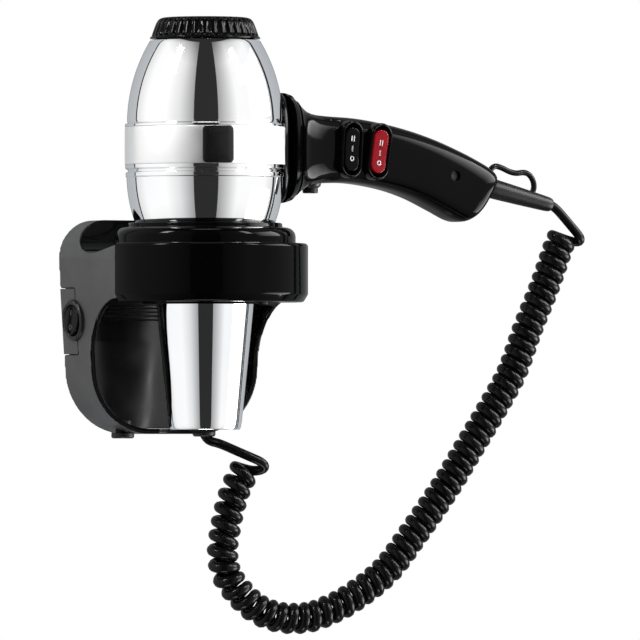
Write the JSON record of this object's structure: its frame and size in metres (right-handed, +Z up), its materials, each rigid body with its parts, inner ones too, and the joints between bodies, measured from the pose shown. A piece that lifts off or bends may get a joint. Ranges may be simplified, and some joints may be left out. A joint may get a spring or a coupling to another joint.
{
  "type": "wall-mounted hair dryer with holder",
  "caption": "Wall-mounted hair dryer standing nozzle down in a ring holder, with curved handle, rocker switches, cold-air button, side master switch and curly cord.",
  "frame": {"origin": "centre of the wall plate's back face, on the wall", "axes": "+Y into the wall, +Z up, +X to the right as seen from the front, along the handle"},
  "size_m": [0.306, 0.124, 0.348],
  "materials": {
    "black_gloss": "polished black ABS",
    "black_satin": "satin black",
    "red_rocker": "gloss red",
    "chrome": "bright chrome plate",
    "chrome_band": "satin chrome plate",
    "cord_black": "smooth black PVC",
    "relief_rubber": "matte black",
    "inner_plastic": "moulded grey-black",
    "terminal_nylon": "natural nylon",
    "steel": "zinc plated",
    "nichrome": "drawn wire",
    "mica": "pressed mica"
  },
  "bodies": {
    "holder": {"wall_plate": "inner_plastic", "holder_housing": "black_gloss", "holder_ring": "black_gloss", "ring_liner": "black_gloss", "back_panel": "black_gloss", "panel_screw": "steel", "screw_plug": "black_gloss", "blanking_plug": "black_satin", "cord_gland": "black_satin", "gland_nut": "inner_plastic", "switch_plate": "black_gloss", "switch_bezel": "black_satin", "master_switch_body": "inner_plastic", "terminal_block": "terminal_nylon", "terminal_screws": "steel", "cord_lead_holder": "cord_black", "cord_coil": "cord_black", "cord_lead_handle": "cord_black"},
    "dryer": {"upper_shell": "chrome", "middle_band": "chrome_band", "lower_shell": "chrome", "nameplate": "black_satin", "outlet_nozzle": "chrome", "outlet_grille": "black_satin", "motor": "steel", "motor_mount": "inner_plastic", "heater_former": "mica", "heater_coil": "nichrome", "mica_sleeve": "mica", "thermostat": "terminal_nylon", "handle_flange": "black_gloss", "handle_front_shell": "black_gloss", "handle_rear_shell": "black_gloss", "handle_screw": "steel", "speed_bezel": "black_satin", "heat_bezel": "black_satin", "speed_switch_body": "inner_plastic", "heat_switch_body": "inner_plastic", "cold_switch_body": "inner_plastic", "cold_button_spring": "steel", "strain_relief": "relief_rubber", "hanging_loop": "relief_rubber"},
    "cap": {"inlet_cap": "black_gloss", "lint_filter": "inner_plastic"},
    "fan": {"impeller": "black_satin", "motor_shaft": "steel"},
    "speed_rocker": {"speed_rocker": "black_satin"},
    "heat_rocker": {"heat_rocker": "red_rocker"},
    "cold_button": {"cold_button": "black_satin"},
    "master_rocker": {"master_rocker": "black_satin"}
  },
  "joints": [
    {"name": "dryer_lift", "type": "slide", "parent": "holder", "child": "dryer", "axis": [0, 0, 1], "range_m": [0, 0.13], "deforming": ["cord_lead_handle", "cord_coil", "cord_lead_holder"]},
    {"name": "cap_twist", "type": "hinge", "parent": "dryer", "child": "cap", "pos_m": [0, -0.066, 0.165], "axis": [0, 0, 1], "range_deg": [0, 30]},
    {"name": "fan_spin", "type": "hinge", "parent": "dryer", "child": "fan", "pos_m": [0, -0.066, 0.14], "axis": [0, 0, 1], "continuous": true},
    {"name": "speed_rock", "type": "hinge", "parent": "dryer", "child": "speed_rocker", "pos_m": [0.0842, -0.0812, 0.1005], "axis": [0.9986, 0, -0.0523], "range_deg": [-8, 8]},
    {"name": "heat_rock", "type": "hinge", "parent": "dryer", "child": "heat_rocker", "pos_m": [0.1024, -0.0812, 0.0994], "axis": [0.9903, 0, -0.1392], "range_deg": [-8, 8]},
    {"name": "cold_press", "type": "slide", "parent": "dryer", "child": "cold_button", "axis": [0, 0, 1], "range_m": [0, 0.0025], "stiffness_N_per_m": 300, "springref_m": -0.001, "deforming": ["cold_button_spring"]},
    {"name": "master_rock", "type": "hinge", "parent": "holder", "child": "master_rocker", "pos_m": [-0.05572, -0.0144, 0.0037], "axis": [0, 1, 0], "range_deg": [-14, 0]}
  ]
}
